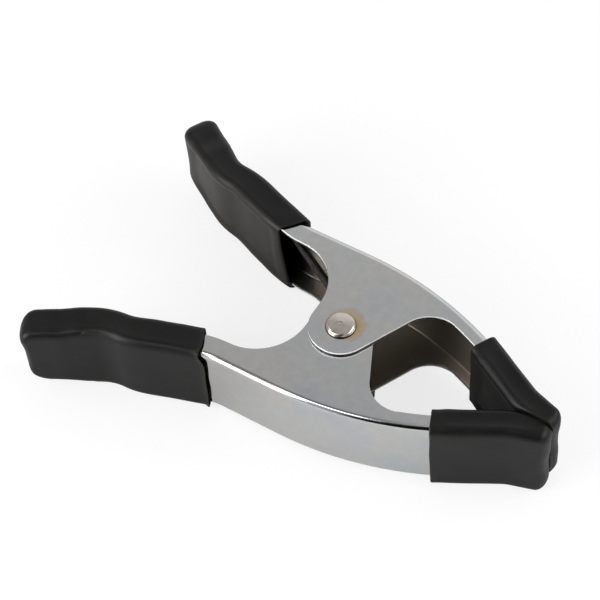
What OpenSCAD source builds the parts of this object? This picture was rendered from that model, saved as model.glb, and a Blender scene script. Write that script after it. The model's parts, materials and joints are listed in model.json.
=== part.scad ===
// Sheet-steel spring clamp with vinyl grips and jaw boots, lying on its side.
// The origin is in the bite of the closed jaws, at the middle of their height.
// +X runs from the pivot to the jaws, +Y to the left arm, +Z along the pivot axis.
// The modules draw about the pivot axis, and on_pivot() moves it to its place behind the bite.

/* [Sheet steel arms] */
// Outside height of one arm's channel, across its two flanges
channel_h = 25.4; // [22:0.2:30]
// Thickness of the sheet
sheet_t = 1.25; // [1:0.05:1.6]
// Outside radius of the bend between web and flange
bend_r = 1.9; // [1.7:0.1:2.4]
// Distance from the pivot axis to the outside of the web
web_y = 27; // [26:0.5:29]
// Width of a flange along the handle
handle_flange_w = 6.8; // [6:0.1:8]
// Width of a flange along the jaw
jaw_flange_w = 4.7; // [4.4:0.1:5.4]
// Radius of the round ear about the pivot
ear_r = 9.5; // [8.5:0.1:10]
// Distance from the pivot axis forward to the origin, in the bite
bite_x = 64; // [60:0.5:66]

/* [Pivot] */
// Diameter of the rivet's shank
shank_d = 6; // [5:0.1:7]
// Diameter of the rivet's domed head
head_d = 9; // [8:0.1:11]
// Height of the domed head
head_h = 1.7; // [1:0.1:2.4]
// Height of the set tail on the far side
tail_h = 1.2; // [0.8:0.1:1.2]
// Radial gap between the shank and the ears' holes
shank_gap = 0.05; // [0.02:0.01:0.1]

/* [Spring] */
// Diameter of the spring wire
wire_d = 2.6; // [2:0.1:2.8]
// Mean radius of the coil
coil_r = 6.1; // [5.8:0.1:6.6]
// Whole turns of the coil, not counting the part turn between the legs
coil_turns = 5; // [3:1:5]

/* [Vinyl sleeves] */
// Wall thickness of the grips and jaw boots
sleeve_t = 1.25; // [1:0.05:1.6]
// Gap between a sleeve and the steel inside it
sleeve_gap = 0.1; // [0.05:0.01:0.2]
// Corner radius of a sleeve's cross section
sleeve_r = 2.6; // [2:0.1:3]

/* [Hidden] */
$fn = 48;

// The two arms are one pressing used twice. The right arm is the left arm turned half a
// turn about X, so each arm has one ear outside and one ear inside the other arm's ears.
ear_gap = 0.1;
stagger = (sheet_t + ear_gap) / 2;
half_h = channel_h / 2;
sleeve_out = sleeve_gap + sleeve_t;  // from the steel to the outside of a sleeve
eps = 0.01;
clear = 1;               // how far a cutting shape runs past what it cuts

// Plan of an arm, measured on the outside of the web.
web_start_x = -25.6;     // end of the straight web, towards the handle
web_end_x = -6.35;       // end of the straight web, towards the jaw
plan_end_x = 60;         // anywhere past the end of the long curve
jaw_arc_r = 108;         // long convex curve of the web towards the jaw
jaw_arc_turn = 29;
crotch_r = 16;           // concave edge between ear and handle
throat_r = 10;           // concave edge between ear and jaw
throat_turn = 62.5;      // direction of the ear's straight edge on the jaw side
throat_lean = 19.5;      // direction of the jaw's inner edge where it leaves the throat
throat_x = 20.32;        // where those two edges would cross
throat_y = 19.24;
crotch_steps = 14;
ear_steps = 40;
throat_steps = 14;
strip_steps = 6;

// Runs of web beyond the middle of an arm: [radius, turn] for an arc, [length] for a line.
// A positive turn bends outwards.
handle_run = [[20.6, 20], [14], [37.4, -14], [1.5], [14.6, 24], [18.5]];
jaw_run = [[jaw_arc_r, -jaw_arc_turn], [12.5], [12, 12], [8.5]];
lap = 0.5;               // straight lengths run this far into their neighbours
lap_step = 0.03;         // and are this much thinner all round, so that the faces don't coincide

// Places along the runs.
grip_skip = 14;          // degrees of the first bend that stay bare outside the grip
boot_skip = 25;          // degrees of the long curve that stay bare outside the boot
mouth_cut = 1;           // degrees by which a sleeve's hollow starts outside its mouth
hollow_r = 0.2;          // corner radius of a sleeve's hollow
tip_back = 1;            // centre of the grip's round tip, back from the end of the handle
flange_stop = 15;        // bare web beyond the flanges at the end of the handle
corner_cut = 3;          // leg of the cut across the corners of that web
bite_gap = 0.05;         // half the gap between the closed boots

// The block that cuts the jaws off flat along the bite.
bite_cut_x = 30;
bite_cut_length = 60;
bite_cut_depth = 20;

steel = [0.72, 0.73, 0.74];
vinyl = [0.13, 0.13, 0.13];
wire_grey = [0.3, 0.29, 0.28];
rivet_grey = [0.66, 0.63, 0.6];

// ---------------------------------------------------------------- runs of channel

function is_arc(piece) = len(piece) == 2;

// Moves to the far end of one piece of a run.
module step_along(piece) {
    if (is_arc(piece)) {
        side = sign(piece[1]);
        translate([0, side * piece[0], 0])
            rotate([0, 0, piece[1]])
                translate([0, -side * piece[0], 0])
                    children();
    } else {
        translate([piece[0], 0, 0])
            children();
    }
}

// Draws one arc of the section given as a child, whose X and Y become Y and Z.
module bend_piece(radius, turn) {
    if (turn > 0) {
        translate([0, radius, 0])
            rotate([0, 0, -90])
                rotate_extrude(angle = turn)
                    translate([radius, 0])
                        mirror([1, 0])
                            children();
    } else {
        translate([0, -radius, 0])
            mirror([1, 0, 0])
                rotate([0, 0, 90])
                    rotate_extrude(angle = -turn)
                        translate([radius, 0])
                            children();
    }
}

// Draws one straight length, run a lap into its neighbours.
module straight_piece(length, lap_start, lap_end) {
    translate([length + lap_end, 0, 0])
        rotate([90, 0, -90])
            linear_extrude(length + lap_start + lap_end)
                mirror([1, 0])
                    children();
}

// Draws a run of pieces. Child 0 is the section of the arcs, child 1 that of the straights.
module run(pieces, i = 0) {
    if (i < len(pieces)) {
        if (is_arc(pieces[i])) {
            bend_piece(pieces[i][0], pieces[i][1])
                children(0);
        } else {
            straight_piece(pieces[i][0], lap, i < len(pieces) - 1 ? lap : 0)
                children(1);
        }
        step_along(pieces[i])
            run(pieces, i + 1) {
                children(0);
                children(1);
            }
    }
}

// Moves to the far end of a run.
module run_end(pieces, i = 0) {
    if (i < len(pieces)) {
        step_along(pieces[i])
            run_end(pieces, i + 1)
                children();
    } else {
        children();
    }
}

// ---------------------------------------------------------------- sections

// A box with its corners rounded, from depth below Y = 0 to out above it.
module rounded_box(depth, out, half, r) {
    translate([-depth + r, -half])
        square([depth + out - 2 * r, 2 * half]);
    translate([-depth, -half + r])
        square([depth + out, 2 * half - 2 * r]);
    for (x = [-depth + r, out - r])
        for (z = [-half + r, half - r])
            translate([x, z])
                circle(r);
}

// One side of the channel's outline, rounded only at the web's corners.
module channel_outline(depth, inset) {
    r = bend_r - inset;
    translate([-depth + inset, -half_h + inset])
        square([depth - bend_r - inset, channel_h - 2 * inset]);
    translate([-bend_r - eps, -half_h + bend_r])
        square([bend_r + eps - inset, channel_h - 2 * bend_r]);
    for (side = [-1, 1])
        translate([-bend_r, side * (half_h - bend_r)])
            circle(r);
}

// The bent sheet: a channel open towards -Y, with its web's outside at Y = 0.
module channel_section(depth, inset = 0) {
    difference() {
        channel_outline(depth, inset);
        translate([-depth - clear, -half_h + sheet_t - inset])
            square([depth + clear - bend_r, channel_h - 2 * sheet_t + 2 * inset]);
        translate([-bend_r - clear, -half_h + bend_r])
            square([bend_r + clear - sheet_t + inset, channel_h - 2 * bend_r]);
        for (side = [-1, 1])
            translate([-bend_r, side * (half_h - bend_r)])
                circle(bend_r - sheet_t + inset);
    }
}

// ---------------------------------------------------------------- plan of the ear

function arc_points(centre, r, from, to, steps) = [
    for (i = [0 : steps])
        let (a = from + (to - from) * i / steps)
            [centre[0] + r * cos(a), centre[1] + r * sin(a)]
];

// The fillet between the ear's straight edge and the jaw's inner edge.
throat_bend = throat_turn + throat_lean;
throat_reach = throat_r / cos(throat_bend / 2);
throat_aim = (throat_turn - throat_lean) / 2 - 90;
throat_centre = [
    throat_x + throat_reach * cos(throat_aim),
    throat_y + throat_reach * sin(throat_aim)
];
crotch_x = -ear_r - crotch_r;
crotch_y = web_y - handle_flange_w - crotch_r;
strip_r = jaw_arc_r - jaw_flange_w;
strip_centre = [web_end_x, web_y - jaw_arc_r];

// The inner edge of a flange, from the handle round the ear to the jaw, closed outside the web.
module flange_plan() {
    start_x = web_start_x - clear;
    outside_y = web_y + clear;
    polygon(concat(
        [[start_x, outside_y], [start_x, web_y - handle_flange_w]],
        arc_points([crotch_x, crotch_y], crotch_r, 90, 0, crotch_steps),
        arc_points([0, 0], ear_r, 180, 270 + throat_turn, ear_steps),
        arc_points(throat_centre, throat_r, 90 + throat_turn, 90 - throat_lean, throat_steps),
        arc_points(strip_centre, strip_r, 90 - throat_lean, 90 - jaw_arc_turn, strip_steps),
        [[plan_end_x, outside_y]]
    ));
}

// ---------------------------------------------------------------- arms

module at_jaw() {
    translate([web_end_x, web_y, 0])
        children();
}

module at_handle() {
    translate([web_start_x, web_y, 0])
        mirror([1, 0, 0])
            children();
}

// The channel deep enough to reach past the ear.
module deep_section() {
    channel_section(web_y + ear_r + clear);
}

module middle_of_arm() {
    intersection() {
        union() {
            translate([web_end_x, web_y, 0])
                rotate([90, 0, -90])
                    linear_extrude(web_end_x - web_start_x)
                        mirror([1, 0])
                            deep_section();
            at_jaw()
                bend_piece(jaw_arc_r, -jaw_arc_turn)
                    deep_section();
        }
        translate([0, 0, -half_h - clear])
            linear_extrude(channel_h + 2 * clear)
                flange_plan();
    }
}

// Near the end of the handle the flanges stop and the web goes on alone, its corners cut off.
module handle_end_cuts() {
    block_y = handle_flange_w + clear;
    corner_block = corner_cut * sqrt(2);
    web_half = half_h - bend_r;
    at_handle()
        run_end(handle_run)
            for (side = [-1, 1])
                mirror([0, 0, side < 0 ? 1 : 0]) {
                    translate([-flange_stop, -block_y, web_half])
                        cube([flange_stop + clear, block_y + clear, bend_r + clear]);
                    translate([0, -handle_flange_w / 2, web_half])
                        rotate([0, 45, 0])
                            cube([corner_block, handle_flange_w + 2 * clear, corner_block], center = true);
                }
}

// Everything beyond the bite, and up to floor_y on this side of it.
module beyond_bite(floor_y) {
    translate([bite_cut_x, -bite_cut_depth, -half_h - bite_cut_depth])
        cube([bite_cut_length, bite_cut_depth + floor_y, channel_h + 2 * bite_cut_depth]);
}

module arm() {
    difference() {
        union() {
            middle_of_arm();
            at_handle()
                run(handle_run) {
                    channel_section(handle_flange_w);
                    channel_section(handle_flange_w, lap_step);
                }
            at_jaw()
                step_along(jaw_run[0])
                    run([for (i = [1 : len(jaw_run) - 1]) jaw_run[i]]) {
                        channel_section(jaw_flange_w);
                        channel_section(jaw_flange_w, lap_step);
                    }
        }
        handle_end_cuts();
        beyond_bite(bite_gap + sleeve_out);
        translate([0, 0, -half_h - clear])
            cylinder(h = channel_h + 2 * clear, d = shank_d + 2 * shank_gap);
    }
}

// Moves the pivot axis from where the modules draw it to its place behind the bite.
module on_pivot() {
    translate([-bite_x, 0, 0])
        children();
}

// The left side stands a little higher than the right side, so that the ears interleave.
module as_left() {
    on_pivot()
        translate([0, 0, stagger])
            children();
}

module as_right() {
    rotate([180, 0, 0])
        as_left()
            children();
}

module left_arm() {
    color(steel)
        as_left()
            arm();
}

module right_arm() {
    color(steel)
        as_right()
            arm();
}

// ---------------------------------------------------------------- rivet

head_rim_h = 0.35;       // straight side of the head, below its dome
dome_step = 0.1;         // how far the dome starts inside that side
tail_end_d = head_d - 2.4;
tail_root_d = head_d - 0.6;

// The cap of a ball with the given radius at its base and the given height.
module dome(base_r, height) {
    ball_r = (base_r * base_r + height * height) / (2 * height);
    intersection() {
        translate([0, 0, height - ball_r])
            sphere(ball_r);
        cylinder(h = height + clear, r = base_r + clear);
    }
}

module pivot_rivet() {
    top = half_h + stagger;
    bottom = -top - ear_gap / 2;
    color(rivet_grey)
        on_pivot() {
            translate([0, 0, bottom])
                cylinder(h = top - bottom, d = shank_d);
            translate([0, 0, top])
                cylinder(h = head_rim_h, d = head_d);
            translate([0, 0, top + head_rim_h])
                dome(head_d / 2 - dome_step, head_h - head_rim_h);
            translate([0, 0, bottom - tail_h])
                cylinder(h = tail_h, d1 = tail_end_d, d2 = tail_root_d);
        }
}

// ---------------------------------------------------------------- spring

leg_clear = 0.85;        // between the web and the bend near a leg's end
leg_x = -29.5;
leg_bend = [[-6.5, 2.8], [-3.5, 1.7], [0, 0]];  // a leg's end beyond that bend, from its tip

// Where the straight of a leg ends, and where on the coil it begins.
leg_end = [leg_x, web_y - sheet_t - wire_d / 2 - leg_clear];
leg_angle = atan2(leg_end[1], leg_end[0]) - acos(coil_r / norm(leg_end));
coil_sweep = 360 * coil_turns + 2 * leg_angle;
coil_gap = 0.15;
coil_rise = (wire_d + coil_gap) * coil_sweep / 360;
steps_per_turn = 20;
coil_steps = round(steps_per_turn * coil_sweep / 360);
wire_sides = 10;

function coil_points() = [
    for (i = [0 : coil_steps])
        let (
            share = i / coil_steps,
            a = leg_angle - share * coil_sweep
        )
            [coil_r * cos(a), coil_r * sin(a), coil_rise * (0.5 - share)]
];

// Left leg to coil to right leg. Each leg lies at the height of its end of the coil, and
// its end is bent to lie along the inside of the web.
function leg_points(side) = [
    for (away = leg_bend)
        [leg_end[0] + away[0], side * (leg_end[1] + away[1]), side * coil_rise / 2]
];
function backwards(list) = [for (i = [len(list) - 1 : -1 : 0]) list[i]];
wire_path = concat(leg_points(1), coil_points(), backwards(leg_points(-1)));

function unit(v) = v / norm(v);

// The direction of the wire at point i, taken across its neighbours.
function heading(path, i) =
    unit(path[min(i + 1, len(path) - 1)] - path[max(i - 1, 0)]);

// The wire never runs along Z, so every ring is squared up with the Z axis.
function wire_ring(path, i) =
    let (
        along = heading(path, i),
        level = unit(cross([0, 0, 1], along)),
        rise = cross(along, level)
    )
        [
            for (k = [0 : wire_sides - 1])
                let (a = 360 * k / wire_sides)
                    path[i] + wire_d / 2 * (level * cos(a) + rise * sin(a))
        ];

module wire(path) {
    points = [for (i = [0 : len(path) - 1]) each wire_ring(path, i)];
    last = len(path) - 1;
    sides = [
        for (i = [0 : last - 1])
            for (k = [0 : wire_sides - 1])
                let (
                    a = i * wire_sides + k,
                    b = i * wire_sides + (k + 1) % wire_sides
                )
                    [a, a + wire_sides, b + wire_sides, b]
    ];
    near_end = [for (k = [0 : wire_sides - 1]) k];
    far_end = [for (k = [wire_sides - 1 : -1 : 0]) last * wire_sides + k];
    polyhedron(points, concat(sides, [near_end, far_end]), convexity = 10);
}

module torsion_spring() {
    color(wire_grey)
        on_pivot()
            wire(wire_path);
}

// ---------------------------------------------------------------- sleeves

// The pieces of a run from one to another, counted from its near end.
function some_of(pieces, from, to) = [for (i = [from : to]) pieces[i]];

// A sleeve's section for a flange of the given width, let out by extra on every side.
module sleeve_section(flange_w, extra, r) {
    rounded_box(flange_w + extra, extra, half_h + extra, r);
}

module sleeve_run(pieces, flange_w, extra, r) {
    run(pieces) {
        sleeve_section(flange_w, extra, r);
        sleeve_section(flange_w, extra - lap_step, r - lap_step);
    }
}

// The run of the handle from skip degrees into its first bend, with the last length as given.
function handle_from(skip, end) = concat(
    [[handle_run[0][0], handle_run[0][1] - skip]],
    some_of(handle_run, 1, len(handle_run) - 2),
    [[end]]
);

module grip_body(extra, r, skip, end) {
    at_handle()
        step_along([handle_run[0][0], skip])
            sleeve_run(handle_from(skip, end), handle_flange_w, extra, r);
}

// The round tip: half of the sleeve's section, turned about the middle of the handle's end.
module grip_tip() {
    tip_r = handle_flange_w / 2 + sleeve_out - 2 * lap_step;
    half = half_h + sleeve_out - 2 * lap_step;
    at_handle()
        run_end(handle_run)
            translate([-tip_back, -handle_flange_w / 2, 0])
                rotate_extrude()
                    intersection() {
                        rounded_box(tip_r, tip_r, half, sleeve_r);
                        translate([0, -half])
                            square([tip_r, 2 * half]);
                    }
}

handle_end = handle_run[len(handle_run) - 1][0];

module grip() {
    difference() {
        union() {
            grip_body(sleeve_out, sleeve_r, grip_skip, handle_end - tip_back);
            grip_tip();
        }
        grip_body(sleeve_gap, hollow_r, grip_skip - mouth_cut, handle_end + sleeve_gap);
    }
}

module left_grip() {
    color(vinyl)
        as_left()
            grip();
}

module right_grip() {
    color(vinyl)
        as_right()
            grip();
}

jaw_end = jaw_run[len(jaw_run) - 1][0];

// The run of the jaw from skip degrees into its long curve, cut off flat at floor_y.
module jaw_pocket(extra, r, skip, end, floor_y) {
    pieces = concat(
        [[jaw_arc_r, skip - jaw_arc_turn]],
        some_of(jaw_run, 1, len(jaw_run) - 2),
        [[end]]
    );
    difference() {
        at_jaw()
            step_along([jaw_arc_r, -skip])
                sleeve_run(pieces, jaw_flange_w, extra, r);
        beyond_bite(floor_y);
    }
}

module jaw_boot() {
    difference() {
        jaw_pocket(sleeve_out, sleeve_r, boot_skip, jaw_end + sleeve_out, bite_gap);
        jaw_pocket(
            sleeve_gap, hollow_r, boot_skip - mouth_cut,
            jaw_end + sleeve_gap, bite_gap + sleeve_t
        );
    }
}

module left_jaw_boot() {
    color(vinyl)
        as_left()
            jaw_boot();
}

module right_jaw_boot() {
    color(vinyl)
        as_right()
            jaw_boot();
}

left_arm();
right_arm();
pivot_rivet();
torsion_spring();
left_grip();
right_grip();
left_jaw_boot();
right_jaw_boot();
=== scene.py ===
"""Looks of a sheet-steel spring clamp: steel, vinyl sleeves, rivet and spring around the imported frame.

The drawing is in millimetres about the pivot axis: X to the jaws, Y to the left arm, Z to the
rivet's head. place() and at_pivot() turn it into the frame's metres.
"""

import json
import math

import bmesh
import bpy
from mathutils import Matrix, Vector, noise


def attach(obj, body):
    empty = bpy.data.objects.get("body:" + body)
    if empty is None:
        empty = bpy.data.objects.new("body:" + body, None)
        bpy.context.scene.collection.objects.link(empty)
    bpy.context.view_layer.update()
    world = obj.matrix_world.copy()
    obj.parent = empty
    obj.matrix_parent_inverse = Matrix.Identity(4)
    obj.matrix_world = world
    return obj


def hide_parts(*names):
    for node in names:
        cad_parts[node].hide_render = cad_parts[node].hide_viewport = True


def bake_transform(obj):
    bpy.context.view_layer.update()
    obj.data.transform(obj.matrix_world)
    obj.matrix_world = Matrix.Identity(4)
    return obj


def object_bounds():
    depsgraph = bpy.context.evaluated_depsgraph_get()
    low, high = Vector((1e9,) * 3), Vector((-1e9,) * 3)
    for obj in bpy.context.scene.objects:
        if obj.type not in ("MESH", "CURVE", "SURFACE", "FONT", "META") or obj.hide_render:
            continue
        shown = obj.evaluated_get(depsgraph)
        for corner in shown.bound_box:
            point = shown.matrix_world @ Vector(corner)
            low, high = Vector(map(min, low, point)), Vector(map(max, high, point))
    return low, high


MM = 0.001
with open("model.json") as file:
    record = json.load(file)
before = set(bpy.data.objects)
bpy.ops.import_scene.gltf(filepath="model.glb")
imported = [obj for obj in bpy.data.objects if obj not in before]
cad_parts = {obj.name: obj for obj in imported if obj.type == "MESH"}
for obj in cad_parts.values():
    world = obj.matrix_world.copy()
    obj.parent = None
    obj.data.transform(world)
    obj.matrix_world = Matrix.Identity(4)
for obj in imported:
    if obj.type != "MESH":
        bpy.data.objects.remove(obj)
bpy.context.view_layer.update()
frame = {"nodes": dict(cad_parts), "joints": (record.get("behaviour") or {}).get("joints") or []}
PIVOT = Vector(frame["joints"][0]["pos_m"])

# ------------------------------------------------------------------ sizes of the design

SHEET_T = 1.25
BEND_R = 1.9
HALF_H = 12.7  # half the outside height of an arm's channel
EAR_GAP = 0.1
STAGGER = (SHEET_T + EAR_GAP) / 2  # the left arm stands this much higher, the right this much lower
WEB_Y = 27.0  # pivot axis to the outside of the web
SIDES = {"left": 1, "right": -1}

# A run is a path of the web's outside: (radius, turn in degrees) for an arc, (length,) for a line.
HANDLE_START_X = -25.6
HANDLE_RUN = [(20.6, 20.0), (14.0,), (37.4, -14.0), (1.5,), (14.6, 24.0), (18.5,)]
HANDLE_FLANGE_W = 6.8
FLANGE_STOP = 15.0  # bare web beyond the flanges at the handle's end
CORNER_CUT = 3.0
GRIP_SKIP = 14.0  # degrees of the first bend that stay outside the grip
JAW_START_X = -6.35
JAW_RUN = [(108.0, -29.0), (12.5,), (12.0, 12.0), (8.5,)]
JAW_FLANGE_W = 4.7
BOOT_SKIP = 25.0  # degrees of the long curve that stay outside the boot

SLEEVE_T = 1.25
SLEEVE_GAP = 0.12  # between steel and vinyl
SLEEVE_OUT = SLEEVE_T + SLEEVE_GAP
BITE_Y = 0.03  # half the gap between the closed boots

WIRE_R = 1.3
COIL_R = 6.1
COIL_TURNS = 5
COIL_PITCH = 2.75
LEG_END = (-29.5, WEB_Y - SHEET_T - WIRE_R - 0.85)  # where the left leg starts to lie on the web
LEG_BEND = [(-6.5, 2.8), (-5.0, 2.3), (-3.5, 1.7), (-2.2, 1.15), (-1.0, 0.55), (0.4, -0.25)]  # from LEG_END

SHANK_R = 3.0
HEAD_R = 4.35
HEAD_RIM_H = 0.15  # straight side of the head, below its shoulder


def at_pivot(x, y, z):
    return PIVOT + Vector((x, y, z)) * MM


def place(side, x, y, z):
    """A point of the left arm's drawing, or the same point turned half a turn about X for the right."""
    sign = SIDES[side]
    return at_pivot(x, sign * y, sign * (z + STAGGER))


# ------------------------------------------------------------------ curves


def smooth(t):
    t = min(1.0, max(0.0, t))
    return t * t * (3 - 2 * t)


def eased(points, s):
    """A smooth value at s through (s, value) points, level beyond the first and the last."""
    for (a, value_a), (b, value_b) in zip(points, points[1:]):
        if s <= b:
            return value_a + (value_b - value_a) * smooth((s - a) / (b - a))
    return points[-1][1]


def round_end(reach, radius):
    """Share of full width left at a distance reach inside a round end of the given radius."""
    if reach >= radius:
        return 1.0
    return math.sqrt(max(0.0, 1 - (1 - reach / radius) ** 2))


def walk(run, step):
    """Points along a run as (distance, x, y, heading); heading turns left from +X."""
    x = y = heading = distance = 0.0
    out = [(distance, x, y, heading)]
    for piece in run:
        turn = math.radians(piece[1]) if len(piece) == 2 else 0.0
        length = piece[0] * abs(turn) if turn else piece[0]
        count = max(1, round(length / step))
        for _ in range(count):
            middle = heading + turn / count / 2
            x += length / count * math.cos(middle)
            y += length / count * math.sin(middle)
            heading += turn / count
            distance += length / count
            out.append((distance, x, y, heading))
    return out


def cut_run(run, skip):
    """The run from skip degrees into its first bend, with the place and heading of that point."""
    radius, turn = run[0]
    sign = math.copysign(1, turn)
    a = math.radians(skip)
    start = (radius * math.sin(a), sign * radius * (1 - math.cos(a)), sign * a)
    return [(radius, turn - sign * skip)] + list(run[1:]), start


# ------------------------------------------------------------------ meshes

WELD_M = 1e-6  # vertices closer than this, in metres, become one
WIRE_END = 0.8  # share of the radius left at the wire's cut ends


def add_object(name, bm):
    """Turns the bmesh into a smooth-shaded object of the scene."""
    bmesh.ops.recalc_face_normals(bm, faces=bm.faces)
    mesh = bpy.data.meshes.new(name)
    bm.to_mesh(mesh)
    bm.free()
    mesh.shade_smooth()
    obj = bpy.data.objects.new(name, mesh)
    bpy.context.scene.collection.objects.link(obj)
    return obj


def skin(name, rings):
    """A closed mesh through rings of equal length, capped at both ends."""
    bm = bmesh.new()
    loops = [[bm.verts.new(p) for p in ring] for ring in rings]
    count = len(loops[0])
    for a, b in zip(loops, loops[1:]):
        for i in range(count):
            j = (i + 1) % count
            bm.faces.new((a[i], a[j], b[j], b[i]))
    bm.faces.new(list(reversed(loops[0])))
    bm.faces.new(loops[-1])
    bmesh.ops.remove_doubles(bm, verts=bm.verts, dist=WELD_M)
    return add_object(name, bm)


def lathe(name, profile, segments=96):
    """A solid turned about the pivot axis from (radius, z) points that run from axis to axis."""
    bm = bmesh.new()
    loops = []
    for r, z in profile:
        around = segments if r > 0 else 1
        angles = [2 * math.pi * k / segments for k in range(around)]
        loops.append([bm.verts.new(at_pivot(r * math.cos(a), r * math.sin(a), z)) for a in angles])
    for a, b in zip(loops, loops[1:]):
        for k in range(segments):
            j = (k + 1) % segments
            corners = [a[k % len(a)], a[j % len(a)], b[j % len(b)], b[k % len(b)]]
            bm.faces.new(list(dict.fromkeys(corners)))
    return add_object(name, bm)


def sweep_wire(name, path, radius, sides=20):
    """A round wire along a path of points about the pivot."""
    rings = []
    last = len(path) - 1
    for i, point in enumerate(path):
        along = (path[min(i + 1, last)] - path[max(i - 1, 0)]).normalized()
        level = Vector((0, 0, 1)).cross(along).normalized()
        rise = along.cross(level)
        r = radius if 0 < i < last else radius * WIRE_END
        angles = [2 * math.pi * k / sides for k in range(sides)]
        rings.append([at_pivot(*(point + r * (level * math.cos(a) + rise * math.sin(a)))) for a in angles])
    return skin(name, rings)


def add_subdivision(obj):
    modifier = obj.modifiers.new("subdivision", "SUBSURF")
    modifier.levels = 1
    modifier.render_levels = 1


# ------------------------------------------------------------------ vinyl sleeves

# Points round a sleeve's section: each corner, the upper and lower face, the inner and outer wall
CORNER_POINTS = 7
FLAT_POINTS = 8
WALL_POINTS = 24
POCKET_R = 0.6  # corner radius inside the sleeve
FULL_CORNER = 0.98  # largest corner, as a share of half the section


def rounded_section(n_in, n_out, low, high, radius):
    """A rounded rectangle as (n, z) points: n across the flanges, z along the pivot axis."""
    r = min(radius, (n_out - n_in) / 2 * FULL_CORNER, (high - low) / 2 * FULL_CORNER)
    corners = [
        (n_out - r, high - r, 0),
        (n_in + r, high - r, 90),
        (n_in + r, low + r, 180),
        (n_out - r, low + r, 270),
    ]
    between = [FLAT_POINTS, WALL_POINTS, FLAT_POINTS, WALL_POINTS]
    out = []
    for k, (n, z, start) in enumerate(corners):
        for i in range(CORNER_POINTS):
            a = math.radians(start + 90 * i / (CORNER_POINTS - 1))
            out.append((n + r * math.cos(a), z + r * math.sin(a)))
        next_n, next_z, next_start = corners[(k + 1) % 4]
        a = math.radians(next_start)
        to = (next_n + r * math.cos(a), next_z + r * math.sin(a))
        here = out[-1]
        for i in range(1, between[k]):
            t = i / between[k]
            out.append((here[0] + (to[0] - here[0]) * t, here[1] + (to[1] - here[1]) * t))
    return out


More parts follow.
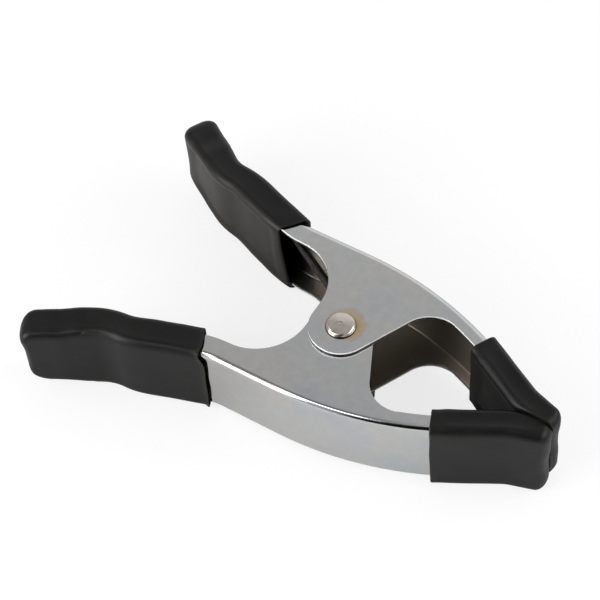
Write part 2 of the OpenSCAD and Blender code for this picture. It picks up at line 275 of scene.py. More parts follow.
class Sleeve:
    """A dipped vinyl pocket drawn along a run of channel. s is the distance inside its mouth.

    Its surface is a skin through rings; Grip and Boot give the sizes that are not set here.
    """

    mouth_length = 1.5
    lip_r = 0.4  # half the thickness of the mouth's rounded edge
    fade_length = 5.0  # how far in the mouth's slant and waves reach
    droop_length = 30.0
    thinnest = 0.4  # least thickness of the outer wall
    bead_w = 2.7  # raised edge along the open side of the channel
    bead_slope = 1.2  # width of the fall from that edge to the sunk wall
    sunk = 0.8  # depth of the open side between those edges
    sunk_reach = 0.8  # points this far behind the wall's surface stay where they are
    ridge = 0.15  # height of the swelling along the long corners
    ridge_in = 1.9  # from the corner to the top of that swelling
    ridge_w = 1.1
    ridge_reach = 2.0  # how far down the walls the swelling is felt
    waist_length = 9.0  # how far from the closed end the waist reaches
    waist_flat = 0.25  # middle part of the waist's height that has its full depth
    unevenness = 0.12
    even_length = 3.0  # the unevenness grows from nothing over this length
    pocket_steps = 30
    ring_step = 0.8
    end_steps = 14

    def __init__(self, side, run, skip, seed):
        self.side = side
        self.seed = seed
        rest, (self.x0, self.y0, self.h0) = cut_run(run, skip)
        self.track = walk(rest, 0.5)
        self.length = self.track[-1][0]
        self.total = self.length + self.tip

    def spot(self, s):
        """Point on the web's outside and its outward normal; straight on beyond either end."""
        track = self.track
        if s <= 0:
            d, x, y, h = track[0]
        elif s >= self.length:
            d, x, y, h = track[-1]
        else:
            k = next(i for i in range(len(track) - 1) if track[i + 1][0] >= s)
            a, b = track[k], track[k + 1]
            t = (s - a[0]) / (b[0] - a[0])
            d, x, y, h = (a[i] + (b[i] - a[i]) * t for i in range(4))
        x += (s - d) * math.cos(h)
        y += (s - d) * math.sin(h)
        c, w = math.cos(self.h0), math.sin(self.h0)
        heading = h + self.h0
        normal = (-math.sin(heading) * self.direction, math.cos(heading))
        at_x = self.start_x + self.direction * (self.x0 + x * c - y * w)
        return (at_x, WEB_Y + self.y0 + x * w + y * c), normal

    def outside(self, s):
        """(n_in, n_out, low, high) of the outer surface, before its far end is rounded."""
        lean = SIDES[self.side] * eased(self.lean, s)
        taper = self.taper * math.exp(-max(0.0, s) / self.mouth_length)
        n_in = -self.flange_w - SLEEVE_OUT - eased(self.inner_swell, s) + lean + taper
        n_out = max(SLEEVE_GAP + self.thinnest, SLEEVE_OUT + eased(self.outer_swell, s) + lean - taper)
        half = HALF_H + SLEEVE_OUT - eased(self.height_loss, s) - taper
        return n_in, n_out, -half - self.droop * smooth(1 - s / self.droop_length), half

    def inside(self, s):
        """The pocket's surface: close to the steel, and wider at the mouth."""
        gap = SLEEVE_GAP + self.gape * math.exp(-max(0.0, s) / self.mouth_length)
        half = self.steel_half(s) + gap
        return -self.flange_w - gap, gap, -half, half

    def steel_half(self, s):
        """Half the height of the steel at s."""
        return HALF_H

    def mouth_shift(self, n, z):
        """How far the mouth's edge wanders along the run: its slant, waves and pulls.

        A pull is (n, z, depth, width): the edge near that point lies this much deeper in the run.
        """
        # One wave takes about 5 mm across the flanges and 8 mm along the pivot axis.
        seed = Vector((n * 0.22, z * 0.12, self.seed * 3.7))
        shift = self.slant * (n + self.flange_w / 2) + self.wave * noise.noise(seed)
        for at_n, at_z, depth, width in self.pulls:
            apart = math.hypot(n - at_n, z - at_z)
            shift += depth * math.exp(-((apart / width) ** 2))
        return shift

    def ring(self, s, section, uneven=0.0, waist=0.0):
        """The (n, z) section at s as points of the frame, with all that is irregular about it."""
        fade = math.exp(-max(0.0, s) / self.fade_length)
        near_end = smooth((s - self.total) / self.waist_length + 1)
        out = []
        for n, z in section:
            off_waist = abs(z - self.waist_z) / self.waist_reach
            hollow = waist * near_end * smooth(1 + self.waist_flat - off_waist)
            at = s + fade * self.mouth_shift(n, z) - hollow
            (px, py), (nx, ny) = self.spot(at)
            if uneven:
                # Dents of about 10 mm, different in each sleeve
                seed = Vector((px * 0.11, py * 0.11 + self.seed * 7.3, z * 0.09 + n * 0.2))
                n += uneven * noise.noise(seed)
                z += uneven * noise.noise(seed + Vector((31.0, 5.0, 2.0)))
            out.append(place(self.side, px + nx * n, self.off_bite(py + ny * n), z))
        return out

    def off_bite(self, y):
        """Only boots meet at the bite."""
        return y

    def along(self, s, start, rise, stop, fall):
        """0 at the mouth and at the closed end, 1 between, with the four lengths in millimetres."""
        return smooth((s - start) / rise) * smooth((self.total - s - stop) / fall)

    def sink(self, section, n_in, s):
        """Presses in the wall between the flanges, and leaves a bead over their edges."""
        edge = self.outside(s)[3] - self.bead_w
        depth = self.sunk * self.along(s, start=1, rise=5, stop=5, fall=6)
        out = []
        for n, z in section:
            on_wall = smooth(1 - (n - n_in) / self.sunk_reach)
            out.append((n + depth * on_wall * smooth((edge - abs(z)) / self.bead_slope), z))
        return out

    def swell(self, section, limits, s):
        """Raises soft ridges beside the long corners of the upper and lower faces."""
        n_in, n_out, low, high = limits
        rise = self.ridge * self.along(s, start=1, rise=6, stop=3, fall=6)
        reach = self.ridge_reach
        out = []
        for n, z in section:
            inner = math.exp(-(((n - n_in - self.ridge_in) / self.ridge_w) ** 2))
            outer = math.exp(-(((n_out - self.ridge_in - n) / self.ridge_w) ** 2))
            on_face = smooth((z - high + reach) / reach) - smooth((low + reach - z) / reach)
            out.append((n, z + rise * (inner + outer) * on_face))
        return out

    def pocket_rings(self):
        """From the bottom of the pocket out to its mouth."""
        deepest = self.length + SLEEVE_GAP
        crowding = 1.4  # rings lie closer together near the mouth
        rings = []
        for i in range(self.pocket_steps + 1):
            s = deepest * (1 - i / self.pocket_steps) ** crowding
            limits = self.inside(s)
            rings.append(self.ring(s, self.sink(rounded_section(*limits, POCKET_R), limits[0], s)))
        return rings

    def lip_rings(self):
        """Round the mouth's edge, from the inside to the outside, at angles in degrees."""
        inner = self.inside(0)
        outer = self.outside(0)
        rings = []
        for a in (155, 120, 90, 60, 25):
            share = (1 + math.cos(math.radians(a))) / 2
            limits = [i + (o - i) * share for i, o in zip(inner, outer)]
            section = rounded_section(*limits, POCKET_R + (self.corner_r - POCKET_R) * share)
            rings.append(self.ring(-self.lip_r * math.sin(math.radians(a)), section))
        return rings

    def outer_rings(self):
        """From the mouth to the rounded end."""
        end = max(self.end_r)
        straight = self.total - end
        count = round(straight / self.ring_step)
        distances = [straight * i / count for i in range(count)]
        for i in range(self.end_steps + 1):
            distances.append(self.total - end * (1 - math.sin(math.pi / 2 * i / self.end_steps)))
        rings = []
        for s in distances:
            n_in, n_out, low, high = self.outside(s)
            reach = self.total - s
            n_in += self.end_r[0] * (1 - round_end(reach, self.end_r[0]))
            n_out -= self.end_r[1] * (1 - round_end(reach, self.end_r[1]))
            low += self.rim_r[0] * (1 - round_end(reach, self.rim_r[0]))
            high -= self.rim_r[1] * (1 - round_end(reach, self.rim_r[1]))
            limits = (n_in, n_out, low, high)
            section = self.swell(rounded_section(*limits, self.corner_r), limits, s)
            section = self.sink(section, n_in, s)
            uneven = self.unevenness * smooth(s / self.even_length)
            rings.append(self.ring(s, section, uneven, self.waist))
        return rings

    def build(self, name, material):
        obj = skin(name, self.pocket_rings() + self.lip_rings() + self.outer_rings())
        add_subdivision(obj)
        obj.data.materials.append(material)
        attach(obj, self.side + "_half")
        return obj


class Grip(Sleeve):
    """A handle's sleeve. Its tables hold (distance inside the mouth, millimetres)."""

    direction = -1
    start_x = HANDLE_START_X
    flange_w = HANDLE_FLANGE_W
    corner_r = 2.3
    waist = 1.1  # the end face is drawn in between its top and bottom
    waist_z = 0.5
    waist_reach = 9.0
    wave = 0.5
    lean = [(0, 0.45), (20, 0.5), (36, 1.15), (60, 1.2)]
    inner_swell = [(0, 0.6), (8, 1.1), (16, 1.2), (28, 0.5), (38, 0.8), (60, 0.8)]
    height_loss = [(0, 0.3), (20, 0.4), (36, 1.0), (44, 2.0), (60, 2.6)]

    def __init__(self, side, seed, pulls):
        self.pulls = pulls
        left = side == "left"
        self.tip = 2.5 if left else 3.7  # vinyl beyond the end of the steel
        self.end_r = (5.2, 5.2 if left else 2.4)  # rounding in plan, at the inner and the outer wall
        bulge = 0.7 if left else 0.0  # of the outer wall close to the tip
        self.outer_swell = [(0, 0.1), (14, -0.2), (24, -0.1), (31, -0.4), (43, 0.45),
                            (51, 0.1 + bulge), (60, bulge)]
        self.rim_r = (9.0, 5.0) if left else (4.5, 7.5)  # rounding of the lower and upper corner
        self.gape = 0.3 if left else 0.9  # how far the pocket stands off the steel at the mouth
        self.taper = 0.2 if left else -0.1  # how much the mouth is drawn in
        self.slant = -0.32 if left else -0.22
        self.droop = 0.9 if left else 0.0
        super().__init__(side, HANDLE_RUN, GRIP_SKIP, seed)

    def steel_half(self, s):
        if s < self.length - FLANGE_STOP:
            return HALF_H
        return HALF_H - BEND_R - max(0.0, s - self.length + CORNER_CUT)


class Boot(Sleeve):
    """A jaw's sleeve, flat where it meets the other one."""

    direction = 1
    start_x = JAW_START_X
    flange_w = JAW_FLANGE_W
    tip = 2.0
    corner_r = 2.2
    end_r = (0.6, 3.5)
    rim_r = (3.6, 3.6)
    waist = 0.5
    waist_z = 2.0
    waist_reach = 6.0
    gape = 0.2
    taper = -0.1
    slant = 0.0
    droop = 0.0
    wave = 0.3
    ridge = 0.3
    lean = [(0, 0.0), (60, 0.0)]
    inner_swell = [(0, 0.7), (5, 1.15), (60, 1.1)]
    outer_swell = [(0, 0.3), (60, 0.3)]
    height_loss = [(0, 0.0), (14, 0.1), (30, -0.1)]

    def __init__(self, side, seed, pulls):
        self.pulls = pulls
        super().__init__(side, JAW_RUN, BOOT_SKIP, seed)

    def off_bite(self, y):
        """Flattens everything past the bite plane onto it, with a soft start."""
        soft = 0.2
        over = y - BITE_Y
        if over >= soft:
            return y
        return BITE_Y + soft * math.exp(over / soft - 1)


# ------------------------------------------------------------------ rivet and spring


def arc(centre_r, centre_z, radius, start, end, steps):
    """(radius, z) points of an arc between two angles in degrees."""
    angles = [math.radians(start + (end - start) * i / steps) for i in range(steps + 1)]
    return [(centre_r + radius * math.cos(a), centre_z + radius * math.sin(a)) for a in angles]


def rivet_profile():
    """From the set tail, round the outside of the domed head, to the dimple in its middle."""
    top = HALF_H + STAGGER
    bottom = -top - EAR_GAP / 2
    tail = [(0, -0.75), (1.4, -0.8), (1.9, -1.15), (2.6, -1.2), (3.5, -1.0), (4.0, -0.6), (4.1, -0.3),
            (4.0, 0.0), (SHANK_R, 0.0)]
    profile = [(r, bottom + z) for r, z in tail]

    chamfer = 0.1
    shoulder_r = 1.2
    slope = 14.0  # degrees, where the shoulder meets the crown
    dimple_slope = slope * 0.24  # where the crown ends and the dimple starts
    slope_sin = math.sin(math.radians(slope))
    crown_r = (HEAD_R - shoulder_r + shoulder_r * slope_sin) / slope_sin
    profile += [(SHANK_R, top), (HEAD_R - chamfer, top), (HEAD_R, top + chamfer)]
    profile += arc(HEAD_R - shoulder_r, top + HEAD_RIM_H, shoulder_r, 0, 90 - slope, 12)
    crown_z = profile[-1][1] - crown_r * math.cos(math.radians(slope))
    profile += arc(0, crown_z, crown_r, 90 - slope, 90 - dimple_slope, 12)[1:]
    z = profile[-1][1]
    profile += [(0.8, z + 0.03), (0.5, z - 0.05), (0.2, z - 0.11), (0, z - 0.12)]
    return profile


def coil_path():
    """The wire of the closed clamp's spring: left leg, coil, right leg; and the height of the coil."""
    leg = math.atan2(LEG_END[1], LEG_END[0]) - math.acos(COIL_R / math.hypot(*LEG_END))
    sweep = 2 * math.pi * COIL_TURNS + 2 * leg
    rise = COIL_PITCH * sweep / (2 * math.pi)
    steps = 300
    coil = []
    for i in range(steps + 1):
        share = i / steps
        a = leg - share * sweep
        coil.append(Vector((COIL_R * math.cos(a), COIL_R * math.sin(a), rise * (0.5 - share))))
    left = [Vector((LEG_END[0] + dx, LEG_END[1] + dy, rise / 2)) for dx, dy in LEG_BEND]
    left += [left[-1].lerp(coil[0], t / 10) for t in range(1, 10)]
    right = [Vector((p.x, -p.y, -p.z)) for p in reversed(left)]
    return left + coil + right, rise


# ------------------------------------------------------------------ materials

SHEARED_BAND = 0.66  # bright part of the sheet's cut edge; the rest is painted dark as shade
SHEET_EDGE_R = 0.25
WORN_EDGE_R = 1.2  # rounding over which the vinyl's edges are paler
HEAD_FOOT_SHADE_H = (0.46, 0.30)  # painted shade on the rivet's head starts and is full, above the ear
HEAD_SHADOW_W = 0.45  # painted shadow on the ear round the rivet's head


class Look:
    """A node material, with short helpers for the nodes it is made of."""

    def __init__(self, name):
        self.material = bpy.data.materials.new(name)
        self.material.use_nodes = True
        self.tree = self.material.node_tree
        self.shader = self.tree.nodes["Principled BSDF"]
        self.coords = self.add("ShaderNodeTexCoord").outputs["Object"]
        self.normal = self.add("ShaderNodeNewGeometry").outputs["Normal"]

    def add(self, kind, **values):
        node = self.tree.nodes.new(kind)
        for key, value in values.items():
            setattr(node, key, value)
        return node

    def feed(self, socket, value):
        """Sets a socket to a number or colour, or links it to another node's output."""
        if isinstance(value, bpy.types.NodeSocket):
            self.tree.links.new(value, socket)
        elif isinstance(value, tuple) and len(value) == 3 and socket.type == "RGBA":
            socket.default_value = (*value, 1.0)
        else:
            socket.default_value = value

    def set(self, name, value):
        self.feed(self.shader.inputs[name], value)

    def noise(self, scale, detail=3.0, rough=0.5):
        """Noise with the given number of features per metre."""
        node = self.add("ShaderNodeTexNoise")
        for name, value in (("Scale", scale), ("Detail", detail), ("Roughness", rough)):
            node.inputs[name].default_value = value
        self.feed(node.inputs["Vector"], self.coords)
        return node.outputs["Fac"]

    def ramp(self, source, stops):
        """Colours or greys at places from 0 to 1."""
        node = self.add("ShaderNodeValToRGB")
        elements = node.color_ramp.elements
        while len(elements) < len(stops):
            elements.new(0.5)
        for element, (at, value) in zip(elements, stops):
            element.position = at
            element.color = (*value, 1.0) if isinstance(value, tuple) else (value, value, value, 1.0)
        self.feed(node.inputs["Fac"], source)
        return node.outputs["Color"]

    def step(self, source, low, high):
        """0 below low, 1 above high, smooth between; also the other way round if low > high."""
        node = self.add("ShaderNodeMapRange", interpolation_type="SMOOTHSTEP")
        self.feed(node.inputs["Value"], source)
        node.inputs["From Min"].default_value = min(low, high)
        node.inputs["From Max"].default_value = max(low, high)
        node.inputs["To Min"].default_value = 0.0 if low < high else 1.0
        node.inputs["To Max"].default_value = 1.0 if low < high else 0.0
        return node.outputs["Result"]

    def math(self, operation, a, b=0.0):
        node = self.add("ShaderNodeMath", operation=operation)
        self.feed(node.inputs[0], a)
        self.feed(node.inputs[1], b)
        return node.outputs["Value"]

    def mix(self, share, a, b, blend="MIX"):
        node = self.add("ShaderNodeMix", data_type="RGBA", blend_type=blend)
        inputs = {socket.identifier: socket for socket in node.inputs}
        self.feed(inputs["Factor_Float"], share)
        self.feed(inputs["A_Color"], a)
        self.feed(inputs["B_Color"], b)
        return next(out for out in node.outputs if out.identifier == "Result_Color")

    def split(self, vector):
        node = self.add("ShaderNodeSeparateXYZ")
        self.feed(node.inputs[0], vector)
        return node.outputs["X"], node.outputs["Y"], node.outputs["Z"]

    def rounded(self, radius):
        """The normal with edges rounded to the radius in millimetres."""
        bevel = self.add("ShaderNodeBevel", samples=6)
        bevel.inputs["Radius"].default_value = radius * MM
        return bevel.outputs["Normal"]

    def bump(self, layers, normal=None):
        """Bump from (height, strength, distance in millimetres) layers, one on another."""
        for height, strength, distance in layers:
            node = self.add("ShaderNodeBump")
            node.inputs["Strength"].default_value = strength
            node.inputs["Distance"].default_value = distance * MM
            self.feed(node.inputs["Height"], height)
            if normal is not None:
                self.feed(node.inputs["Normal"], normal)
            normal = node.outputs["Normal"]
        self.set("Normal", normal)

    def worn_edges(self, rounded, low, high):
        """1 where the rounded normal leaves the face's own, 0 on open faces."""
        dot = self.add("ShaderNodeVectorMath", operation="DOT_PRODUCT")
        self.feed(dot.inputs[0], rounded)
        self.feed(dot.inputs[1], self.normal)
        return self.step(dot.outputs["Value"], high, low)

    def from_pivot(self):
        """X and Y from the pivot axis in millimetres."""
        x, y, _ = self.split(self.coords)
        x = self.math("DIVIDE", self.math("SUBTRACT", x, PIVOT.x), MM)
        y = self.math("DIVIDE", self.math("SUBTRACT", y, PIVOT.y), MM)
        return x, y

    def from_axis(self):
        """Distance from the pivot axis in millimetres."""
        x, y = self.from_pivot()
        squares = self.math("ADD", self.math("MULTIPLY", x, x), self.math("MULTIPLY", y, y))
        return self.math("SQRT", squares)


def head_tinge(look):
    """Share and colour of the straw and brown tint round the rivet's head, wider to one side."""
    x, y = look.from_pivot()
    wider = look.math("ADD", look.math("MULTIPLY", x, 0.16), look.math("MULTIPLY", y, 0.20))
    wander = look.math("MULTIPLY", look.noise(300, 3, 0.6), 3.0)
    reach = look.math("SUBTRACT", look.from_axis(), look.math("ADD", wander, wider))
    ring = look.step(reach, 5.0, 2.2)
    colour = look.ramp(ring, [(0.0, (0.62, 0.60, 0.60)), (0.45, (0.62, 0.53, 0.48)),
                              (0.8, (0.64, 0.55, 0.36)), (1.0, (0.60, 0.46, 0.27))])
    return look.step(ring, 0.0, 0.5), colour


def channel_masks(look, sign):
    """Masks of an arm: inside of the channel, inside of its flanges, edge of the sheet, sheared band."""
    _, normal_y, normal_z = look.split(look.normal)
    height = look.math("SUBTRACT", look.split(look.coords)[2], sign * STAGGER * MM)
    web_inside = look.step(look.math("MULTIPLY", normal_y, sign), -0.15, -0.5)
    towards = look.math("MULTIPLY", look.math("SIGN", height), normal_z)
    flange_inside = look.step(towards, -0.3, -0.7)
    inside = look.math("MAXIMUM", web_inside, flange_inside)

    off_middle = look.math("DIVIDE", look.math("ABSOLUTE", height), MM)
    upright = look.step(look.math("ABSOLUTE", normal_z), 0.25, 0.12)
    sheet_low = HALF_H - SHEET_T
    band_low = HALF_H - SHEARED_BAND
    edge = look.math("MULTIPLY", upright, look.step(off_middle, sheet_low - 0.05, sheet_low + 0.05))
    sheared = look.math("MULTIPLY", edge, look.step(off_middle, band_low - 0.06, band_low + 0.06))
    return inside, flange_inside, edge, sheared


def painted_channel_light_and_shade(look, flange_inside):
    """Painted light and shade inside the channel: pale and warm between the ears, painted dark in the
    handles and towards the jaws, pale pink on the flanges' insides near the boots.
    """
    x, _ = look.from_pivot()
    to_jaws = look.math("MAXIMUM", look.step(x, -19, -12), flange_inside)
    colour = look.mix(to_jaws, (0.90, 0.80, 0.68), (0.38, 0.345, 0.295))
    x_of_web = look.math("SUBTRACT", x, look.math("MULTIPLY", flange_inside, 8))
    colour = look.mix(look.step(x_of_web, -23, -28), colour, (0.10, 0.09, 0.08))
    to_boots = look.math("MULTIPLY", flange_inside, look.step(x, 22, 32))
    return look.mix(to_boots, colour, (1.0, 0.84, 0.76))


def sheet_steel(side):
    """Bright zinc plate: clouded and faintly tinted, white where sheared, rougher inside the channel, with
    painted light and shade there, and painted shade on the cut edge and round the rivet's head.
    """
    look = Look("zinc_plated_steel_" + side)
    clouds = look.noise(55, 4, 0.55)
    mottle = look.noise(380, 3, 0.6)
    streaks = look.noise(1400, 2, 0.5)
    tint = look.ramp(clouds, [(0.32, (0.60, 0.625, 0.65)), (0.5, (0.645, 0.65, 0.64)),
                              (0.68, (0.68, 0.65, 0.62))])
    colour = look.mix(1.0, tint, look.ramp(mottle, [(0.3, 0.93), (0.7, 1.0)]), "MULTIPLY")
    share, tinge = head_tinge(look)
    colour = look.mix(share, colour, tinge)

    inside, flange_inside, edge, sheared = channel_masks(look, SIDES[side])
    # Painted light and shade inside the channel, in place of how it is lit there.
    colour = look.mix(look.math("MULTIPLY", inside, 0.9), colour, painted_channel_light_and_shade(look, flange_inside))
    # Painted shade: the inside is darkened further where ambient occlusion finds it closed in.
    painted_occlusion = look.add("ShaderNodeAmbientOcclusion", samples=8)
    painted_occlusion.inputs["Distance"].default_value = 12 * MM
    colour = look.mix(inside, colour, look.ramp(painted_occlusion.outputs["AO"], [(0.1, 0.8), (0.8, 1.0)]), "MULTIPLY")
    # Painted shade: the cut edge below its bright band is painted near black.
    colour = look.mix(edge, colour, (0.09, 0.097, 0.115))
    colour = look.mix(sheared, colour, (0.97, 0.97, 0.96))
    # Painted shadow: a dark brown ring on the ear round the rivet's head.
    under_head = look.math("MULTIPLY", look.step(look.from_axis(), HEAD_R + HEAD_SHADOW_W, HEAD_R), 0.9)
    colour = look.mix(under_head, colour, (0.16, 0.12, 0.09))

    look.set("Base Color", colour)
    look.set("Metallic", look.math("SUBTRACT", 1.0, look.math("MULTIPLY", sheared, 0.85)))
    smear = look.math("ADD", look.math("MULTIPLY", mottle, 0.10), look.math("MULTIPLY", clouds, 0.12))
    rough = look.math("ADD", look.math("MULTIPLY", sheared, 0.25), smear)
    look.set("Roughness", look.math("ADD", look.math("MULTIPLY", inside, 0.25), rough))
    look.bump([(clouds, 0.06, 0.5), (mottle, 0.04, 0.05), (streaks, 0.05, 0.02)],
              look.rounded(SHEET_EDGE_R))
    return look.material


def rivet_steel():
    """Plain steel, warm and mottled, painted dark at its foot as shade, and darker in its dimple."""
    look = Look("rivet_steel")
    mottle = look.noise(600, 3, 0.6)
    colour = look.ramp(mottle, [(0.3, (0.57, 0.51, 0.46)), (0.7, (0.66, 0.60, 0.55))])
    ear_top = HALF_H + STAGGER
    # Painted shade: the head is painted dark at its foot, where it meets the ear.
    foot_shade = look.step(look.split(look.coords)[2], *((ear_top + h) * MM for h in HEAD_FOOT_SHADE_H))
    colour = look.mix(look.math("MULTIPLY", foot_shade, 0.9), colour, (0.07, 0.05, 0.04))
    dimple = look.step(look.from_axis(), 1.3, 0.3)
    colour = look.mix(look.math("MULTIPLY", dimple, 0.35), colour, (0.30, 0.27, 0.25))
    look.set("Base Color", colour)
    look.set("Metallic", 1.0)
    look.set("Roughness", look.ramp(mottle, [(0.2, 0.18), (0.8, 0.28)]))
    look.bump([(look.noise(260, 2, 0.5), 0.06, 0.1), (look.noise(2600, 2, 0.5), 0.03, 0.02)])
    return look.material


def spring_wire():
    """Dark oiled wire with fine drawing marks."""
    look = Look("spring_wire")
    draw = look.noise(500, 3, 0.6)
    look.set("Base Color", look.ramp(draw, [(0.3, (0.018, 0.017, 0.016)), (0.7, (0.05, 0.046, 0.041))]))
    look.set("Metallic", 0.9)
    look.set("Roughness", look.ramp(draw, [(0.2, 0.30), (0.8, 0.48)]))
    look.bump([(look.noise(3000, 3, 0.6), 0.2, 0.03)])
    return look.material


def black_vinyl():
    """Satin dipped vinyl: slightly cloudy, with fine pores and a little dust, and painted paler as light on
    the handles' walls that face the middle.
    """
    look = Look("black_vinyl")
    clouds = look.noise(70, 4, 0.6)
    pores = look.noise(2600, 3, 0.6)
    colour = look.ramp(clouds, [(0.35, (0.0046, 0.0047, 0.0044)), (0.7, (0.0078, 0.0074, 0.0064))])
    dust = look.step(look.noise(900, 4, 0.7), 0.60, 0.80)
    colour = look.mix(look.math("MULTIPLY", dust, 0.22), colour, (0.07, 0.065, 0.055))
    edges = look.worn_edges(look.rounded(WORN_EDGE_R), 0.90, 0.995)
    worn = look.math("MULTIPLY", edges, look.noise(160, 3, 0.6))
    colour = look.mix(look.math("MULTIPLY", worn, 0.35), colour, (0.045, 0.044, 0.040))
    x, y = look.from_pivot()
    away_from_middle = look.math("MULTIPLY", look.math("SIGN", y), look.split(look.normal)[1])
    # Painted light: the handles' walls that face the middle are painted paler, as lit.
    painted_wall_light = look.math("MULTIPLY", look.step(away_from_middle, -0.5, -0.9), look.step(x, -25, -40))
    colour = look.mix(look.math("MULTIPLY", painted_wall_light, 0.8), colour, (0.030, 0.026, 0.021))
    look.set("Base Color", colour)
    look.set("IOR", 1.33)
    look.set("Roughness", look.math("ADD", look.math("MULTIPLY", clouds, 0.22), 0.27))
    look.bump([(clouds, 0.20, 0.4), (look.noise(700, 2, 0.5), 0.08, 0.08), (pores, 0.12, 0.03)])
    return look.material


def floor_paper():
    """White paper, lit up for the camera so that only faint shadows stay on it."""
    look = Look("floor_paper")
    to_camera = look.add("ShaderNodeLightPath").outputs["Is Camera Ray"]
    paper = look.ramp(look.noise(6, 2, 0.5), [(0.3, 0.80), (0.7, 0.82)])
    look.set("Base Color", look.mix(to_camera, paper, (0.26, 0.26, 0.26)))
    look.set("Emission Color", (1.0, 1.0, 1.0))
    look.set("Emission Strength", look.math("MULTIPLY", to_camera, 0.77))
    look.set("Roughness", 0.9)
    look.set("Specular IOR Level", 0.1)
    return look.material


# ------------------------------------------------------------------ pieces


def add_arms():
    """The arms keep their exact CAD shape and take a procedural steel."""
    for side in SIDES:
        arm = frame["nodes"][side + "_arm"]
        arm.data.materials.clear()
        arm.data.materials.append(sheet_steel(side))


def add_sleeves():
    vinyl = black_vinyl()
    top_corner = -HALF_H  # the right arm is turned over, so this is its upper corner
    pulls = {
        ("left", "grip"): [(1.0, HALF_H, -0.2, 3.0), (-8.0, -HALF_H, -2.2, 9.0)],
        ("right", "grip"): [(1.2, top_corner, 1.7, 2.6), (-7.0, top_corner, 0.4, 2.5)],
        ("left", "boot"): [(1.0, HALF_H, 0.3, 2.5)],
        ("right", "boot"): [(1.0, top_corner, -0.2, 2.5)],
    }
    for side, sign in SIDES.items():
        grip = Grip(side, 1 + sign, pulls[side, "grip"]).build(side + "_grip_sleeve", vinyl)
        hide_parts(side + "_grip")
        boot = Boot(side, 6 + sign, pulls[side, "boot"]).build(side + "_boot_sleeve", vinyl)
        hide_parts(side + "_jaw_boot")


def add_rivet():
    rivet = lathe("rivet", rivet_profile())
    rivet.data.materials.append(rivet_steel())
    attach(rivet, "left_half")
    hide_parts("pivot_rivet")


def add_spring():
    """The closed clamp's wire: the upper leg lies on the left arm, the lower leg on the right, and the coil
    winds between.
    """
    path, rise = coil_path()
    spring = sweep_wire("spring", path, WIRE_R)
    spring.data.materials.append(spring_wire())
    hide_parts("torsion_spring")
    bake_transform(spring)


# ------------------------------------------------------------------ stage, light, camera

VIEW_AZIMUTH = 36.08
VIEW_ELEVATION = 53.73
VIEW_ROLL = -5.14
VIEW_PLACE = (191.4, -281.3, 491.1)  # millimetres from the pivot
LENS = 123.0
FLOOR_HALF = 3.0  # metres


def add_floor():
    """The floor touches the lowest point of the clamp."""
    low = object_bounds()[0][2]
    ends = [(-FLOOR_HALF, -FLOOR_HALF), (FLOOR_HALF, -FLOOR_HALF), (FLOOR_HALF, FLOOR_HALF),
            (-FLOOR_HALF, FLOOR_HALF)]
    corners = [(x, y, low) for x, y in ends]
    mesh = bpy.data.meshes.new("floor")
    mesh.from_pydata(corners, [], [(0, 1, 2, 3)])
    mesh.materials.append(floor_paper())
    floor = bpy.data.objects.new("floor", mesh)
    bpy.context.scene.collection.objects.link(floor)


def area_light(name, towards, away, size, radiance):
    """A soft box of the given size in metres, seen from the clamp in a direction, at a distance."""
    data = bpy.data.lights.new(name, "AREA")
    data.shape = "RECTANGLE"
    data.size, data.size_y = size
    data.energy = radiance * math.pi * size[0] * size[1]
    lamp = bpy.data.objects.new(name, data)
    lamp.location = PIVOT + Vector(towards).normalized() * away
    lamp.rotation_euler = (PIVOT - lamp.location).to_track_quat("-Z", "Y").to_euler()
    bpy.context.scene.collection.objects.link(lamp)
    return lamp


ROOM_RADIANCE = 0.49
# (direction, inner and outer angle in degrees, brightness inside relative to the room)
ROOM_PATCHES = [
    ((0.349, -0.478, 0.806), 8, 14, 0.12),
    ((0.36, -0.70, 0.62), 14, 20, 0.08),
    ((0.31, -0.87, 0.38), 18, 25, 0.06),
    ((0.30, -0.94, 0.14), 14, 20, 0.08),
    ((0.20, -0.58, 0.79), 7, 12, 0.15),
    ((-0.35, -0.30, 0.88), 12, 26, 0.45),
    ((-0.30, 0.90, 0.25), 15, 45, 1.9),
]


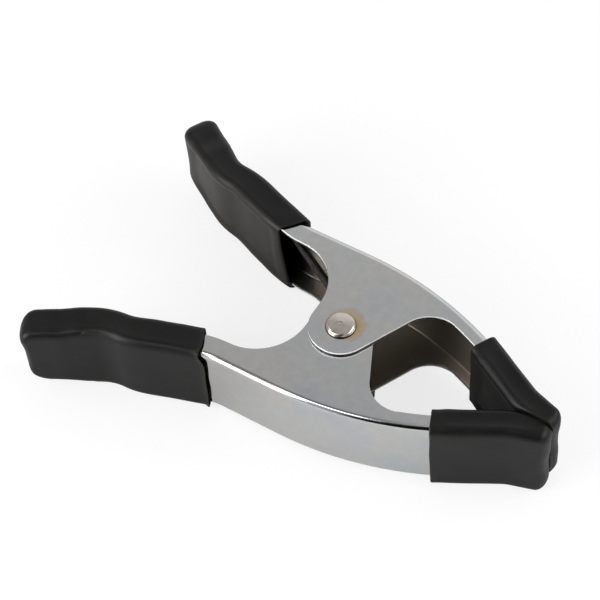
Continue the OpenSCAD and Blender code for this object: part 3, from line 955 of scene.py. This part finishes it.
def add_room():
    """A pale room whose far side is dim behind the camera, as the flat faces reflect it."""
    world = bpy.data.worlds.new("room")
    world.use_nodes = True
    tree = world.node_tree
    bpy.context.scene.world = world
    direction = tree.nodes.new("ShaderNodeTexCoord").outputs["Generated"]
    shade = None
    for towards, inner, outer, value in ROOM_PATCHES:
        dot = tree.nodes.new("ShaderNodeVectorMath")
        dot.operation = "DOT_PRODUCT"
        tree.links.new(direction, dot.inputs[0])
        dot.inputs[1].default_value = Vector(towards).normalized()
        step = tree.nodes.new("ShaderNodeMapRange")
        step.interpolation_type = "SMOOTHSTEP"
        tree.links.new(dot.outputs["Value"], step.inputs["Value"])
        step.inputs["From Min"].default_value = math.cos(math.radians(outer))
        step.inputs["From Max"].default_value = math.cos(math.radians(inner))
        step.inputs["To Min"].default_value = 1.0
        step.inputs["To Max"].default_value = value
        if shade is None:
            shade = step.outputs["Result"]
            continue
        product = tree.nodes.new("ShaderNodeMath")
        product.operation = "MULTIPLY"
        tree.links.new(shade, product.inputs[0])
        tree.links.new(step.outputs["Result"], product.inputs[1])
        shade = product.outputs["Value"]
    strength = tree.nodes.new("ShaderNodeMath")
    strength.operation = "MULTIPLY"
    strength.inputs[1].default_value = ROOM_RADIANCE
    tree.links.new(shade, strength.inputs[0])
    background = tree.nodes["Background"]
    background.inputs["Color"].default_value = (0.98, 0.99, 1.0, 1.0)
    tree.links.new(strength.outputs["Value"], background.inputs["Strength"])


def add_lights():
    """Two front lights for the bends and ridges, one above, two behind on the right, and a fill."""
    area_light("front_left", (-0.54, -0.77, 0.33), 0.9, (0.62, 0.62), 4.5)
    area_light("front_top", (-0.16, -0.61, 0.78), 0.9, (0.32, 0.14), 4.0)
    area_light("ceiling", (-0.62, -0.15, 0.77), 0.9, (0.20, 0.20), 3.0)
    area_light("back_right", (0.75, 0.55, 0.55), 1.0, (0.55, 0.55), 2.8)
    area_light("right", (0.88, 0.10, 0.43), 1.0, (0.40, 0.40), 2.0)
    fill = area_light("fill", (0.62, -0.72, 0.30), 1.0, (0.40, 0.40), 5.5)
    fill.visible_glossy = False  # for matt surfaces only: the bright steel doesn't mirror it


def add_camera():
    """Azimuth is measured from -Y towards +X; the roll is about the line of sight."""
    az, el, roll = (math.radians(v) for v in (VIEW_AZIMUTH, VIEW_ELEVATION, VIEW_ROLL))
    back = Vector((math.sin(az) * math.cos(el), -math.cos(az) * math.cos(el), math.sin(el)))
    level = Vector((math.cos(az), math.sin(az), 0.0))
    steep = back.cross(level)
    right = level * math.cos(roll) + steep * math.sin(roll)
    up = steep * math.cos(roll) - level * math.sin(roll)
    data = bpy.data.cameras.new("camera")
    data.lens = LENS
    data.clip_start = 0.01
    camera = bpy.data.objects.new("camera", data)
    turn = Matrix((right, up, back)).transposed().to_4x4()
    camera.matrix_world = Matrix.Translation(at_pivot(*VIEW_PLACE)) @ turn
    bpy.context.scene.collection.objects.link(camera)
    bpy.context.scene.camera = camera


add_arms()
add_sleeves()
add_rivet()
add_spring()
add_floor()
add_room()
add_lights()
add_camera()
bpy.context.scene.view_settings.view_transform = "Standard"
